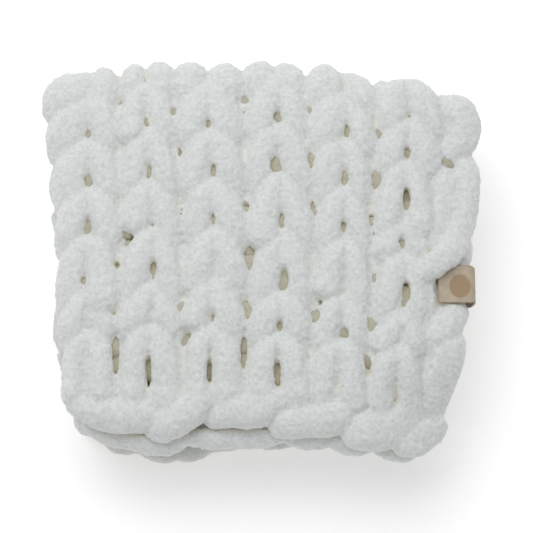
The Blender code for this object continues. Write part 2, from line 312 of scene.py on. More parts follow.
    def sunk(self, x: Array, y: Array, z: Array) -> Array:
        """Let the stack sink towards its rim and its right front corner.

        Args:
            x: Across the stack.
            y: From its front to its back.
            z: The heights before it sinks.

        Returns:
            The heights after it has sunk.
        """
        rim = np.maximum(np.abs(x) / self.half_size[0], np.abs(y) / self.half_size[1])
        amount = self.rim_sink * smooth((rim - self.rim_from) / self.rim_over)
        corner = np.hypot(x - self.corner[0], y - self.corner[1]) / self.corner_reach
        return z * (1.0 - amount - self.corner_sink * (1.0 - smooth(corner)))


@dataclass(frozen=True)
class Gap:
    """A gap between stitches: its middle, length and width, in millimetres on the top layer."""

    x: float
    y: float
    length: float
    width: float


GAPS = (
    Gap(-137, 96, 8, 6), Gap(-136.5, 52, 9, 9), Gap(-135.5, 14, 14, 5), Gap(-138, -31, 9, 5),
    Gap(-111, 32, 10, 4), Gap(-112.5, -18.5, 9, 5.5), Gap(-112, -91, 38, 7), Gap(-92, 102, 12, 3),
    Gap(-87, 58.5, 10, 5), Gap(-83.5, -21.5, 12, 7), Gap(-84, -55, 11, 5), Gap(-86, -103, 36, 6.5),
    Gap(-69, 109, 10, 5), Gap(-64, 76, 11, 4.5), Gap(-62, 31.5, 10, 3.5), Gap(-58.5, -45, 8, 5),
    Gap(-60, -80, 8, 3.5), Gap(-41, 99, 9, 6.5), Gap(-36.5, 59, 11, 5), Gap(-37, 19.5, 10, 4.5),
    Gap(-35.5, -19.5, 10, 3), Gap(-36, -60, 8, 4), Gap(-39, -103, 34, 6), Gap(-13.5, 77, 8, 4),
    Gap(-11, 30, 10, 6), Gap(-9.5, -11, 16, 7), Gap(-10.5, -49.5, 7, 4.5), Gap(-12.5, -89, 38, 6.5),
    Gap(13.5, 104, 11, 8), Gap(10.5, 63, 12, 7.5), Gap(17, 19.5, 12, 6), Gap(20, -30, 18, 7),
    Gap(15.5, -67.5, 9, 6.5), Gap(13.5, -105, 36, 7), Gap(40, 67.5, 16, 6), Gap(41.5, 30, 11, 5),
    Gap(45, -59.5, 9, 6), Gap(37.5, -91, 10, 4), Gap(69.5, 97, 16, 6.5), Gap(68, 55, 18, 5.5),
    Gap(65.5, 12, 10, 5), Gap(68, -74, 9, 4), Gap(60, -112, 28, 5.5), Gap(89, 20, 7, 4),
    Gap(86, -21, 7, 4), Gap(84, -99, 20, 6), Gap(119, 112, 14, 5), Gap(117, 79, 9, 8),
    Gap(116, 36, 22, 8.5), Gap(111, -0.5, 8, 6.5), Gap(114.5, -41, 19, 9), Gap(112, -74, 9, 3.5),
    Gap(105, -118, 24, 4.5), Gap(152, 20, 5, 1.5),
)


@dataclass
class YarnMesh:
    """Strands laid along the folded way and gathered into one mesh, which keep clear of the gaps."""

    way: FoldedWay
    spots: list[Array] = field(default_factory=list)
    faces: list[Array] = field(default_factory=list)
    count: int = 0
    least_half: float = 0.5
    end_share: float = 0.9
    least_end: float = 0.04
    soft_turns: int = 1
    gap_reach: float = 21.0
    gap_margin: float = 1.5
    gap_share: float = 0.29
    gap_least: float = 0.35
    gap_fullness: float = 0.85
    gap_soft: float = 0.7
    gap_fade: float = 1.2
    under_slope: float = -0.35

    def add_strand(self, points: Array, fineness: Fineness, gaps: tuple[Gap, ...] = ()) -> None:
        """Add one plump strand, closed at both ends.

        Args:
            points: Rows of x, s, h, half width and half thickness along the strand.
            fineness: How finely it is divided.
            gaps: The gaps beside it, which it keeps clear of.
        """
        sides, step = fineness.value
        rows = through(points, step)
        centres, radii = rows[:, :3], np.maximum(rows[:, 3:5], self.least_half)
        along = run_of(centres)
        radii = radii * self._ends(along, radii[:, 0])[:, None]
        tangents = np.gradient(centres, along, axis=0)
        tangents /= np.linalg.norm(tangents, axis=1)[:, None]
        lateral = np.cross(tangents, np.array([0.0, 0.0, 1.0]))
        lateral /= np.maximum(np.linalg.norm(lateral, axis=1), 1e-6)[:, None]
        upward = np.cross(lateral, tangents)
        angles = np.linspace(0.0, 2.0 * math.pi, sides, endpoint=False)
        ring = (
            centres[:, None, :]
            + lateral[:, None, :] * (radii[:, 0:1] * np.cos(angles))[:, :, None]
            + upward[:, None, :] * (radii[:, 1:2] * np.sin(angles))[:, :, None]
        )
        for gap in gaps:
            self._keep_clear(ring, centres, gap)
        self._append(ring.reshape(-1, 3), len(rows), sides)

    def _ends(self, along: Array, half: Array) -> Array:
        """Round off a strand's ends.

        Args:
            along: How far along the strand each row lies.
            half: The strand's half width at each row.

        Returns:
            The share of its thickness that the strand has at each row.
        """
        from_start = along / (half[0] * self.end_share)
        from_end = (along[-1] - along) / (half[-1] * self.end_share)
        inward = np.clip(np.minimum(from_start, from_end), 0.0, 1.0)
        return np.maximum(np.sqrt(1.0 - (1.0 - inward) ** 2), self.least_end)

    def _keep_clear(self, ring: Array, centres: Array, gap: Gap) -> None:
        """Press the strand's near side back from a gap, as a soft dent.

        Args:
            ring: The strand's surface, which is changed in place.
            centres: The strand's middle line.
            gap: The gap.
        """
        middle_s = self.way.s_at_top(gap.y)
        away = centres[:, 0] - gap.x
        if np.min(np.abs(centres[:, 1] - middle_s)) > gap.length or np.min(np.abs(away)) > self.gap_reach:
            return
        share = (ring[:, :, 1] - middle_s) / (gap.length / 2 + self.gap_margin)
        widest = gap.width * self.gap_share + self.gap_least
        lens = widest * np.clip(1.0 - share * share, 0.0, 1.0) ** self.gap_fullness
        sign = np.where(away >= 0, 1.0, -1.0)[:, None]
        clear = sign * (ring[:, :, 0] - gap.x)
        pushed = lens + self.gap_soft * np.logaddexp(0.0, (clear - lens) / self.gap_soft)
        amount = (lens > 0) * np.where(np.abs(away)[:, None] < self.gap_reach, 1.0, 0.0)
        near = np.clip(lens / self.gap_fade, 0.0, 1.0)
        ring[:, :, 0] += sign * (pushed - clear) * amount * near

    def _append(self, spots: Array, rows: int, sides: int) -> None:
        """Add a tube's points and faces, with a point at each end.

        Args:
            spots: The tube's points, ring by ring.
            rows: The number of its rings.
            sides: The number of points in a ring.
        """
        row = np.arange(rows - 1)[:, None] * sides
        rim = np.arange(sides)
        beside = (rim + 1) % sides
        quads = np.stack([row + rim, row + sides + rim, row + sides + beside, row + beside], axis=-1)
        self.faces.append(quads.reshape(-1, 4) + self.count)
        last = (rows - 1) * sides
        for tip, one, other in ((rows * sides, rim, beside), (rows * sides + 1, last + beside, last + rim)):
            self.faces.append(np.column_stack([np.full(sides, tip), one, other]) + self.count)
        ends = np.array([spots[:sides].mean(axis=0), spots[-sides:].mean(axis=0)])
        self.spots.append(np.concatenate([spots, ends]))
        self.count += len(spots) + 2

    def build(
        self, name: str, finish: "Chenille", blend: float, under_share: float = 1.0
    ) -> bpy.types.Object:
        """Make the gathered strands into one dressed object.

        Args:
            name: The piece's name.
            finish: The yarn's finish.
            blend: The size in millimetres at which touching strands run together, or 0 to keep them apart.
            under_share: The share of its faces that the covered underside keeps.

        Returns:
            The new object, riding on the part and standing in for the plain folded solid.
        """
        cloth = np.concatenate(self.spots)
        room = self.way.place(cloth[:, 0], cloth[:, 1], cloth[:, 2])
        mesh = bpy.data.meshes.new(name)
        mesh.from_pydata((room * MM).tolist(), [], [row for part in self.faces for row in part.tolist()])
        piece = linked(name, mesh)
        if blend:
            mesh = self._blended(piece, blend)
        if under_share < 1.0:
            mesh = self._thinned(piece, under_share)
        mesh.shade_smooth()
        self._roughen(mesh, finish)
        mesh.materials.append(finish.material())
        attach(piece, "root")
        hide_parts("blanket")
        return piece

    def _blended(self, piece: bpy.types.Object, blend: float) -> bpy.types.Mesh:
        """Run strands that touch into one soft surface, as the pile does.

        Args:
            piece: The piece.
            blend: The size in millimetres at which they run together.

        Returns:
            The piece's new mesh.
        """
        remesh = piece.modifiers.new("Run together", "REMESH")
        remesh.mode = "VOXEL"
        remesh.voxel_size = blend * MM
        soften = piece.modifiers.new("Soften", "SMOOTH")
        soften.factor = 0.5
        soften.iterations = self.soft_turns
        return self._applied(piece)

    def _thinned(self, piece: bpy.types.Object, share: float) -> bpy.types.Mesh:
        """Keep only a share of the faces on the underside, which nothing shows.

        Args:
            piece: The piece.
            share: The share to keep.

        Returns:
            The piece's new mesh.
        """
        normals = np.empty(len(piece.data.vertices) * 3, np.float32)
        piece.data.vertex_normals.foreach_get("vector", normals)
        below = np.flatnonzero(normals.reshape(-1, 3)[:, 2] < self.under_slope)
        group = piece.vertex_groups.new(name="underside")
        group.add(below.tolist(), 1.0, "REPLACE")
        part = len(below) / len(piece.data.vertices)
        thin = piece.modifiers.new("Thin the underside", "DECIMATE")
        thin.ratio = 1.0 - part * (1.0 - share)
        thin.vertex_group = group.name
        thin.vertex_group_factor = 10.0
        return self._applied(piece)

    @staticmethod
    def _applied(piece: bpy.types.Object) -> bpy.types.Mesh:
        """Replace a piece's mesh with what its modifiers make of it.

        Args:
            piece: The piece, which keeps no modifier.

        Returns:
            The piece's new mesh.
        """
        made = bpy.data.meshes.new_from_object(piece.evaluated_get(bpy.context.evaluated_depsgraph_get()))
        piece.modifiers.clear()
        piece.data = made
        return made

    @staticmethod
    def _roughen(mesh: bpy.types.Mesh, finish: "Chenille") -> None:
        """Stand the surface out in soft tufts, as the yarn's pile does.

        Args:
            mesh: The mesh, which is changed in place and stays above the floor.
            finish: The yarn's finish, with the sizes and heights of its tufts.
        """
        count = len(mesh.vertices)
        spots = np.empty(count * 3, np.float32)
        mesh.vertices.foreach_get("co", spots)
        normals = np.empty(count * 3, np.float32)
        mesh.vertex_normals.foreach_get("vector", normals)
        points = spots.reshape(-1, 3).astype(float)
        out = np.zeros(count)
        for size, height in finish.tufts:
            scaled = points / (size * MM)
            out += height * np.array([noise.noise(Vector(place)) for place in scaled.tolist()])
        moved = points + normals.reshape(-1, 3) * (out * MM)[:, None]
        moved[:, 2] = np.maximum(moved[:, 2], 0.0)
        mesh.vertices.foreach_set("co", moved.astype(np.float32).ravel())
        mesh.update()


@dataclass(frozen=True)
class Chenille:
    """Pale grey-white chenille yarn with a short velvety pile, with brownish painted shade in hollows and
    cream painted light in creases.
    """

    name: str = "chenille"
    pale: Row = (0.67, 0.692, 0.684, 1.0)
    # shade: a cream lighter than the yarn, painted light in the creases where strands press together.
    shade: Row = (0.79, 0.79, 0.735, 1.0)
    # Painted shade: the brownish colour where the strands are most hidden, in the gaps and hollows.
    painted_hollow_shade: Row = (0.70, 0.65, 0.50, 1.0)
    tufts: tuple[Row, ...] = ((14.0, 0.7), (6.0, 0.7), (3.3, 0.7), (2.1, 0.7))

    def material(self) -> bpy.types.Material:
        """Mix the yarn's material, or find it where it is mixed already.

        Returns:
            The material.
        """
        known = bpy.data.materials.get(self.name)
        if known:
            return known
        material = bpy.data.materials.new(self.name)
        material.use_nodes = True
        nodes, links = material.node_tree.nodes, material.node_tree.links
        shader = dial(nodes["Principled BSDF"], {
            "Roughness": 1.0, "Specular IOR Level": 0.1, "Sheen Weight": 0.35, "Sheen Roughness": 0.6,
            "Subsurface Weight": 0.5, "Subsurface Radius": (1.0, 0.95, 0.8), "Subsurface Scale": 0.006,
        })
        place = nodes.new("ShaderNodeTexCoord").outputs["Object"]
        # The ambient occlusion ramp paints light and shade into the colour: brownish painted shade in the
        # gaps and hollows, cream painted light in the creases, the pale yarn in the open.
        occlusion = dial(nodes.new("ShaderNodeAmbientOcclusion"), {"Distance": 0.011})
        occlusion.samples = 8
        ramp = nodes.new("ShaderNodeValToRGB")
        ramp.color_ramp.elements[0].position = 0.10
        ramp.color_ramp.elements[0].color = self.painted_hollow_shade
        ramp.color_ramp.elements[1].position = 0.75
        ramp.color_ramp.elements[1].color = self.pale
        middle = ramp.color_ramp.elements.new(0.36)
        middle.color = self.shade
        wander = dial(nodes.new("ShaderNodeTexNoise"), {"Scale": 260.0, "Detail": 3.0})
        strayed = nodes.new("ShaderNodeVectorMath")
        strayed.operation = "MULTIPLY_ADD"
        strayed.inputs[1].default_value = (0.006, 0.006, 0.006)
        web = dial(nodes.new("ShaderNodeTexVoronoi"), {"Scale": 330.0})
        band = dial(nodes.new("ShaderNodeMapRange"), {
            "From Min": 0.15, "From Max": 0.75, "To Min": 0.93, "To Max": 1.06,
        })
        tint = nodes.new("ShaderNodeMix")
        tint.data_type = "RGBA"
        tint.blend_type = "MULTIPLY"
        tint.inputs["Factor"].default_value = 1.0
        pile = dial(nodes.new("ShaderNodeTexNoise"), {"Scale": 700.0, "Detail": 4.0})
        bump = dial(nodes.new("ShaderNodeBump"), {"Strength": 0.55, "Distance": 0.0012})
        for source, target in (
            (occlusion.outputs["AO"], ramp.inputs["Fac"]),
            (place, wander.inputs["Vector"]),
            (wander.outputs["Color"], strayed.inputs[0]),
            (place, strayed.inputs[2]),
            (strayed.outputs["Vector"], web.inputs["Vector"]),
            (web.outputs["Distance"], band.inputs["Value"]),
            (ramp.outputs["Color"], tint.inputs["A"]),
            (band.outputs["Result"], tint.inputs["B"]),
            (tint.outputs["Result"], shader.inputs["Base Color"]),
            (place, pile.inputs["Vector"]),
            (pile.outputs["Fac"], bump.inputs["Height"]),
            (bump.outputs["Normal"], shader.inputs["Normal"]),
        ):
            links.new(source, target)
        return material


@dataclass(frozen=True)
class Knot:
    """A point on half a stitch, from the crown of its arch to its foot.

    The point lies below millimetres in front of the stitch's tip, and along shares of the way from there
    to the next tip. Its place across is 0 at the stitch's middle line and 1 at its outer valley, given for
    a stitch that stands upright and for one whose legs lean apart. Its width is a share of the same way.
    """

    below: float
    along: float
    upright: float
    leaning: float
    height: float
    wide: float
    thick: float


ARCH = (
    Knot(9.0, 0.00, 0.00, 0.00, -0.4, 0.38, 10.0),
    Knot(11.5, 0.00, 0.20, 0.10, 0.6, 0.42, 10.9),
    Knot(17.5, 0.00, 0.37, 0.25, 1.5, 0.46, 11.7),
    Knot(14.0, 0.33, 0.465, 0.40, 1.7, 0.50, 12.0),
    Knot(8.0, 0.66, 0.51, 0.52, 1.1, 0.505, 11.9),
    Knot(3.0, 1.00, 0.545, 0.59, 0.0, 0.49, 11.2),
    Knot(0.0, 1.25, 0.565, 0.63, -2.0, 0.455, 10.0),
    Knot(0.0, 1.46, 0.575, 0.65, -5.2, 0.40, 8.2),
    Knot(0.0, 1.60, 0.575, 0.65, -8.0, 0.35, 6.2),
)


@dataclass(frozen=True)
class FootOver:
    """A leg whose foot lies over the next stitch instead of under it, and how far it reaches along."""

    column: int
    stitch: int
    side: Side
    reach: float

    def knots(self) -> tuple[Knot, ...]:
        """Return the leg's points, which stay high up to a round end."""
        return ARCH[:4] + (
            Knot(8.0, 0.60, 0.50, 0.52, 1.9, 0.51, 12.0),
            Knot(4.0, self.reach - 0.25, 0.52, 0.55, 2.2, 0.53, 12.2),
            Knot(1.0, self.reach - 0.10, 0.51, 0.54, 1.2, 0.51, 11.4),
            Knot(0.0, self.reach, 0.50, 0.53, -2.0, 0.47, 9.4),
        )


FEET_OVER = (
    FootOver(0, 3, Side.RIGHT, 1.48),
    FootOver(3, 4, Side.LEFT, 1.32),
    FootOver(1, 4, Side.LEFT, 1.12),
    FootOver(1, 6, Side.LEFT, 1.40),
    FootOver(5, 5, Side.RIGHT, 1.30),
    FootOver(4, 3, Side.LEFT, 1.10),
    FootOver(2, 2, Side.LEFT, 1.10),
    FootOver(5, 2, Side.LEFT, 1.15),
)


@dataclass
class KnitStitches:
    """The plain stitches of the whole cloth, in six columns and a half, from one end to the other.

    Each row of tips has the y of one column's tips on the top layer, and the ranges draw each leg's lean,
    shift across, fullness, height and lag.
    """

    way: FoldedWay
    tips: tuple[Row, ...] = (
        (-67.4, -36.8, 8.0, 46.8, 89.9),
        (-63.4, -32.0, 12.0, 53.4, 97.3),
        (-65.0, -26.9, 12.9, 54.3, 95.7),
        (-71.6, -38.5, 11.2, 58.4, 100.6),
        (-76.0, -40.9, 4.6, 47.6, 91.5),
        (-79.9, -50.9, -5.4, 19.5, 73.3),
        (-70.0, -30.0, 10.0, 50.0, 90.0),
    )
    course: float = 40.0
    lean_by: Row = (0.0, 0.8)
    shift_by: Row = (-0.05, 0.04)
    fuller_by: Row = (0.96, 1.06)
    higher_by: Row = (-1.2, 1.0)
    lag_by: Row = (-2.0, 2.5)
    lag_from: float = 0.3
    stopped_share: float = 0.25
    stopped_reach: float = 10.0
    seen_layer: float = 2.2
    loop_places: Row = (6.0, -14.0, -34.0)
    loop_height: float = -2.0
    loop_rise: float = 3.5
    loop_droop: float = 3.0
    loop_reach: float = 15.0
    loop_half: float = 11.0
    loop_thick: float = 4.5
    front_loop_y: float = -130.0
    furrow: Row = (-4.5, 6.0, 7.5)
    furrow_step: float = 12.0
    first_end: float = 20.0
    columns: int = 7
    jitter: random.Random = field(default_factory=lambda: random.Random(SEED))

    def tip_places(self, column: int) -> list[float]:
        """Find the tips of the stitches in one column.

        Args:
            column: The column of stitches, from the left.

        Returns:
            The s of each tip, from the bound-off edge on.
        """
        places = [self.first_end] + [self.way.s_at_top(y) for y in self.tips[column]]
        while places[-1] < self.way.length - self.course:
            places.append(places[-1] + self.course)
        return places

    def half(self, column: int, index: int, side: Side, start: float, end: float, lean: float) -> list[Row]:
        """Lay half a stitch, from the crown of its arch to its foot.

        Args:
            column: The column of stitches, from the left.
            index: The stitch's number in its column, from 1 at the bound-off edge.
            side: The side of the stitch.
            start: The s of the stitch's own tip.
            end: The s of the next tip towards the bound-off edge.
            lean: How far its legs lean apart, from 0 to 1.

        Returns:
            Rows of x, s, h, half width and half thickness.
        """
        rows = []
        middle_leg = 2 * column + 1
        outer_leg = middle_leg + side.value
        shift = self.jitter.uniform(*self.shift_by)
        fuller = self.jitter.uniform(*self.fuller_by)
        higher = self.jitter.uniform(*self.higher_by)
        lag = self.jitter.uniform(*self.lag_by)
        feet_stop = end <= self.first_end
        this = (column, index, side)
        over = [foot for foot in FEET_OVER if (foot.column, foot.stitch, foot.side) == this]
        for knot in over[0].knots() if over else ARCH:
            along = knot.along
            if feet_stop:
                along = min(along, 1.0 + (along - 1.0) * self.stopped_share)
            across = knot.upright * (1.0 - lean) + knot.leaning * lean
            below = knot.below + lag * (knot.upright > self.lag_from)
            s = start - below + (end - start + self.stopped_reach * feet_stop) * along
            place = middle_leg + side.value * (across + shift * (across > 0))
            x, middle, outer = (
                self.way.across(np.array([leg]), np.array([s]))[0] for leg in (place, middle_leg, outer_leg)
            )
            width = abs(outer - middle)
            rows.append((x, s, knot.height + higher, width * knot.wide * fuller, knot.thick * fuller))
        return rows

    def stitch(self, column: int, index: int, start: float, end: float) -> Array:
        """Lay a whole stitch as one strand, up its left leg, over the crown and down its right leg.

        Args:
            column: The column of stitches, from the left. The last one shows its left half alone.
            index: The stitch's number in its column, from 1 at the bound-off edge.
            start: The s of the stitch's own tip.
            end: The s of the next tip towards the bound-off edge.

        Returns:
            Rows of x, s, h, half width and half thickness.
        """
        lean = self.jitter.uniform(*self.lean_by) if index > 1 else 0.0
        left = self.half(column, index, Side.LEFT, start, end, lean)
        if column == self.columns - 1:
            return np.array(left)
        right = self.half(column, index, Side.RIGHT, start, end, lean)
        return np.array(left[::-1] + right[1:])

    def fineness(self, s: float, column: int) -> Fineness:
        """Choose how finely a stitch is divided.

        Args:
            s: The place of its tip.
            column: The column of stitches, from the left.

        Returns:
            Its fineness: the most on the top layer, and the least where the layers cover it.
        """
        layer = self.way.read(np.array([s]), 5)[0]
        if layer > self.seen_layer:
            return Fineness.SEEN
        on_fold = abs(layer - round(layer)) > 0.02
        if on_fold or column in (0, self.columns - 1):
            return Fineness.EDGE
        return Fineness.COVERED

    def back_loops(self, mesh: YarnMesh) -> None:
        """Add the loops of the cloth's reverse side, which cross behind the gaps of the top layer.

        Args:
            mesh: The mesh that takes them.
        """
        fold = self.way.s_at_top(self.way.back_fold_y)
        label_low, label_high = (
            corner[1] / MM + side * self.loop_half for corner, side in zip(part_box("label"), (-2, 2))
        )
        for column in range(self.columns - 1):
            for tip in self.tip_places(column):
                for place, ahead in itertools.product((2 * column + 1, 2 * column + 2), self.loop_places):
                    s = tip + ahead
                    y = self.way.y_at(np.array([s]))[0]
                    beside_label = place == LEGS - 1 and label_low < y < label_high
                    if not self.first_end < s < fold or y < self.front_loop_y or beside_label:
                        continue
                    middle = self.way.across(np.array([float(place)]), np.array([s]))[0]
                    height = self.loop_height + self.loop_rise * (ahead > 0)
                    size = (self.loop_half, self.loop_thick)
                    rows = [
                        (middle + self.loop_reach * k, s, height - self.loop_droop * abs(k), *size)
                        for k in (-1.0, -0.4, 0.4, 1.0)
                    ]
                    mesh.add_strand(np.array(rows, float), Fineness.EDGE)

    def furrows(self, mesh: YarnMesh) -> None:
        """Add the yarn that lies low between neighbouring columns and closes the furrow there.

        Args:
            mesh: The mesh that takes it.
        """
        fold = self.way.s_at_top(self.way.back_fold_y)
        s = np.arange(self.first_end, fold, self.furrow_step)
        for column in range(self.columns - 1):
            x = self.way.across(np.full(len(s), 2.0 * column + 2.0), s)
            low, half, thick = (np.full(len(s), size) for size in self.furrow)
            mesh.add_strand(np.column_stack([x, s, low, half, thick]), Fineness.SEEN, GAPS)

    def build(
        self, edges: "Edges", finish: Chenille, loops_painted_shade: Chenille, lower_painted_shade: Chenille
    ) -> list[bpy.types.Object]:
        """Build the top layer, the loops behind it and the lower layers, each as one piece.

        Args:
            edges: The edges, whose selvedge strands run together with the top layer.
            finish: The yarn's finish.
            loops_painted_shade: A darker, browner copy of the yarn's finish, painted shade for the loops
                that lie low in the gaps.
            lower_painted_shade: A slightly darker, warmer copy of the yarn's finish, painted shade for the
                lower layers.

        Returns:
            The pieces.
        """
        top, lower, loops = YarnMesh(self.way), YarnMesh(self.way), YarnMesh(self.way)
        last_top = self.way.s_at_top(self.way.back_fold_y) + 2 * self.course
        for column in range(self.columns):
            places = self.tip_places(column)
            for index, (end, start) in enumerate(zip(places, places[1:]), 1):
                if column == self.columns - 1 and start < last_top:
                    continue
                mesh = top if start < last_top else lower
                gaps = GAPS if start < last_top else ()
                mesh.add_strand(self.stitch(column, index, start, end), self.fineness(start, column), gaps)
        self.furrows(top)
        edges.right_selvedge(top)
        edges.chain(top)
        edges.cast_on(lower)
        self.back_loops(loops)
        return [
            top.build("top_layer", finish, 1.6, under_share=0.12),
            # The back loops take a darker, browner copy of the yarn: painted shade for where they lie in
            # shadow in the gaps.
            loops.build("back_loops", loops_painted_shade, 0.0),
            # The lower layers take a slightly darker, warmer copy of the yarn: painted shade for where they
            # lie under the top layer.
            lower.build("lower_layers", lower_painted_shade, 3.4),
        ]


@dataclass
class Edges:
    """The bound-off chain and the cast-on edge along the front, and the strands of the right selvedge.

    A link is rows of x, s, h, half width and half thickness, and a selvedge strand the same with y for s.
    A lobe is the x of its start and end and how far ahead it lies, and its shape is rows of a share of its
    way, s, h and the two halves. A loop is the x of its start and end and how far short of the cloth's end
    it stays, and its shape is rows of a share of its way, how far past that it lies, and the half width.
    """

    way: FoldedWay
    links: tuple[tuple[Row, ...], ...] = (
        ((-149, 21, -7, 8, 7), (-140, 19, -0.5, 11, 10.5), (-121, 15, 3.2, 12.8, 11.5),
         (-100, 15, 3.8, 13.2, 11.5), (-86, 19, 1.5, 12, 11), (-80, 25, -5, 8, 8)),
        ((-88, 8, -7, 8, 7), (-79, 10.5, 0, 11.5, 11), (-65, 16, 4, 13.2, 12), (-51, 23.5, 4.2, 13.2, 12),
         (-41, 30, 1, 10.5, 10.5), (-38, 34, -6, 8, 8)),
        ((-43, 17, -7, 8, 7), (-33, 18, -0.5, 11.5, 10.5), (-16, 17, 3.4, 13.2, 11.5),
         (2, 19.5, 3.8, 13.8, 11.5), (13, 26, 1.5, 11.5, 10.5), (17, 32, -5, 8, 8)),
        ((8, 7, -8, 8, 7), (17, 8, -1, 11, 11), (36, 10.5, 2.6, 12.5, 11.5), (54, 13, 3.2, 13.2, 11.5),
         (65, 18.5, 0.5, 11.5, 11), (69, 24, -6, 8, 8)),
        ((64, 3, -8, 8, 7), (74, 4.5, -0.5, 13.5, 11.5), (90, 8, 2.8, 15.5, 12), (106, 13, 3.2, 13.5, 12),
         (118, 25, 1, 12, 11), (125, 40, -4, 9, 9)),
        ((103, 1, -9, 8, 7), (111, 3, -1, 12, 11), (124, 8, 1.5, 13, 12), (136, 15, 0, 11, 11),
         (141, 23, -6, 8, 8)),
    )
    selvedge: tuple[tuple[Row, ...], ...] = (
        ((142, 152, -8, 10, 8), (156, 140, 0, 14, 11), (164, 118, 1.5, 14, 11), (158, 94, 0, 13, 10.5),
         (146, 74, -5, 11, 8)),
        ((160, 90, -8, 8, 6.5), (164.5, 72, -1.5, 10, 9), (165, 48, 0.5, 10.5, 10.5),
         (160, 20, 1, 11.5, 10.5), (155, 4, 4, 11.5, 10), (148.5, -9.5, 11, 11.5, 8.5),
         (140.5, -17, 14.8, 10.5, 6.5), (132, -24, 9.5, 9.5, 8.5), (124, -31, 1, 8, 7)),
        ((154, 14, -4, 9, 7), (158, -4, -1, 11, 7), (152, -20, 0, 10.3, 6), (150.5, -36, 0, 10.3, 5.8),
         (150.5, -51, 0, 10.3, 6), (150, -64, -2, 10, 7), (147, -78, -5, 9, 7)),
        ((127, 6, -5, 8, 7), (130.5, -10, -1.5, 8, 9.5), (131.2, -35, -0.5, 7.8, 10),
         (130.5, -60, -2, 8, 9), (128, -78, -6, 7, 7)),
        ((144, 74, -6, 9, 7), (147, 54, -1, 12, 9.5), (146.5, 34, -0.5, 12.5, 10), (142, 14, 0, 12, 10.5),
         (136, -2, -1, 10.5, 9.5), (131, -14, -5, 8, 7)),
        ((157, -46, -8, 8, 6.5), (151.5, -58, -0.5, 11.5, 10.5), (143.5, -69, 1, 12.5, 10.5),
         (136, -82, -2, 12, 9), (131, -94, -7, 9, 6)),
        ((151.5, -68, -8, 8, 6), (149.5, -82, -1, 12, 10), (141.5, -102, 1, 14, 10.5),
         (132.5, -122, 0, 13.5, 10), (124, -138, -5, 11, 8)),
    )
    lobes: tuple[Row, ...] = (
        (-140, -50, 0), (-58, 26, 0), (16, 58, 0), (50, 88, 2), (84, 124, 2),
    )
    lobe_shape: tuple[Row, ...] = (
        (0, 8, -12, 6, 6), (0.25, 2.5, -12.5, 9, 8.5), (0.5, 0.5, -13, 10, 9),
        (0.75, 1.5, -12.5, 9.5, 8.5), (1, 7, -11, 6, 6),
    )
    cast_on_loops: tuple[Row, ...] = (
        (-144, -118, 13), (-124, -95, 4), (-98, -67, 1.5), (-70, -41, 3), (-46, -6, 6.5), (-12, 30, 7.5),
        (26, 66, 13), (62, 102, 14), (98, 140, 15),
    )
    first_row: tuple[Row, ...] = (
        (-146, -112, 24), (-116, -66, 21), (-70, -20, 21), (-24, 24, 24), (20, 70, 30), (66, 108, 32),
        (104, 142, 33),
    )
    cast_on_shape: tuple[Row, ...] = (
        (-0.12, -10, 7), (0.2, -4, 10), (0.5, -2.5, 11), (0.85, -4.5, 10), (1.1, -11, 7),
    )
    flatness: float = 0.95

    def chain(self, mesh: YarnMesh) -> None:
        """Add the plump links that lie side by side along the bound-off edge."""
        for link in self.links:
            mesh.add_strand(np.array(link, float), Fineness.SEEN)

    def under_chain(self, mesh: YarnMesh) -> None:
        """Add the second strand of the chain, which hangs just below and before the first.

        Args:
            mesh: The mesh that takes it.
        """
        for start, end, ahead in self.lobes:
            rows = [
                (start + (end - start) * share, s - ahead, *size)
                for share, s, *size in self.lobe_shape
            ]
            mesh.add_strand(np.array(rows, float), Fineness.EDGE)

    def cast_on(self, mesh: YarnMesh) -> None:
        """Add the loops of the cast-on edge, in front of the lowest layer.

        Args:
            mesh: The mesh that takes them.
        """
        last = self.way.length
        for start, end, short in self.cast_on_loops + self.first_row:
            rows = [
                (start + (end - start) * share, last + ahead - short, 0.0, half, half * self.flatness)
                for share, ahead, half in self.cast_on_shape
            ]
            mesh.add_strand(np.array(rows, float), Fineness.EDGE)

    def right_selvedge(self, mesh: YarnMesh) -> None:
        """Add the strands that bow out along the right edge of the top layer.

        Args:
            mesh: The mesh that takes them.
        """
        for strand in self.selvedge:
            rows = np.array(strand, float)
            rows[:, 1] = self.way.s_at_top(rows[:, 1])
            mesh.add_strand(rows, Fineness.SEEN)

    def build(self, finish: Chenille) -> bpy.types.Object:
        """Build the chain's second strand as one piece.

        Args:
            finish: The yarn's finish.

        Returns:
            The piece.
        """
        chain = YarnMesh(self.way)
        self.under_chain(chain)
        return chain.build("under_chain", finish, 1.8)


